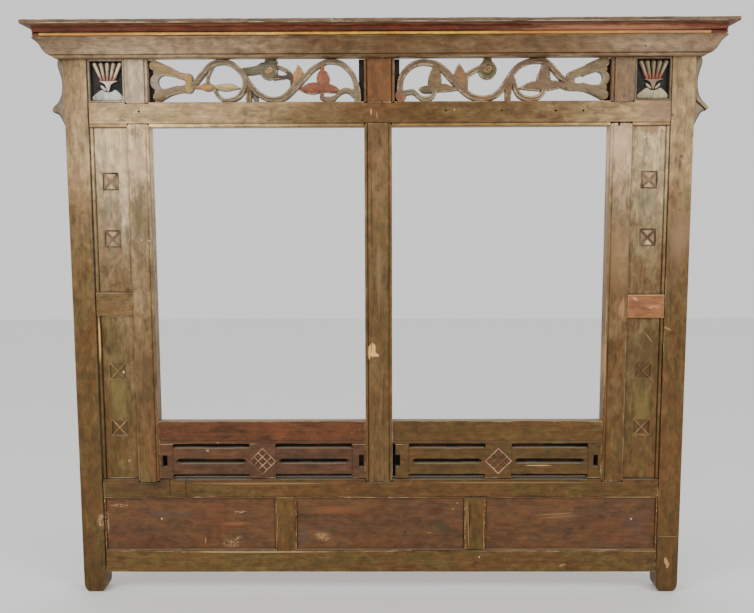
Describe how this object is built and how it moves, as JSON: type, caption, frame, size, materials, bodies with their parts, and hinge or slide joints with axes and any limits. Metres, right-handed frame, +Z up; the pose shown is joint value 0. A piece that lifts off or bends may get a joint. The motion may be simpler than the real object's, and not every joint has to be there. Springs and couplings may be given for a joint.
{
  "type": "window surround",
  "caption": "Painted timber window surround with a moulded cornice, carved scroll friezes, fretted boards under the lights and red-brown base panels, on short feet.",
  "frame": {"origin": "centre of the bounding box's base, on the ground under the feet", "axes": "+X to the right along the surround as seen from its decorated face, +Y to the back away from the viewer, +Z up"},
  "size_m": [1.768, 0.109, 1.4912],
  "materials": {
    "olive_paint": "worn matt olive-brown paint over timber",
    "grey_olive_paint": "worn dusty grey-brown paint over timber",
    "red_brown_paint": "worn matt red-brown paint over timber",
    "cove_red_paint": "worn deep red paint with a faded gold bead",
    "bare_grey_timber": "bare weathered grey timber",
    "carved_paint": "worn olive-brown and ochre paint on carved timber",
    "shell_paint": "worn cream, pink and grey-green paint on carved timber over a black ground"
  },
  "bodies": {
    "root": {"bottom_panel_left": "red_brown_paint", "bottom_panel_middle": "red_brown_paint", "bottom_panel_right": "red_brown_paint", "bottom_rail": "olive_paint", "bottom_stile_left": "olive_paint", "bottom_stile_right": "olive_paint", "cornice_cap": "bare_grey_timber", "cornice_moulding": "cove_red_paint", "ear_left": "olive_paint", "ear_right": "olive_paint", "fascia_board": "grey_olive_paint", "fret_panel_left": "red_brown_paint", "fret_panel_right": "olive_paint", "frieze_mullion": "olive_paint", "frieze_scroll_left": "carved_paint", "frieze_scroll_right": "carved_paint", "frieze_stile_left": "grey_olive_paint", "frieze_stile_right": "grey_olive_paint", "jamb_left": "olive_paint", "jamb_right": "olive_paint", "mid_rail": "olive_paint", "mullion": "olive_paint", "post_left": "olive_paint", "post_right": "olive_paint", "shell_panel_left": "shell_paint", "shell_panel_right": "shell_paint", "side_panel_lower_left": "olive_paint", "side_panel_lower_right": "olive_paint", "side_panel_upper_left": "olive_paint", "side_panel_upper_right": "olive_paint", "side_rail_left": "olive_paint", "side_rail_right": "red_brown_paint", "sill_rail_left": "red_brown_paint", "sill_rail_right": "olive_paint", "upper_rail": "olive_paint"}
  },
  "joints": []
}
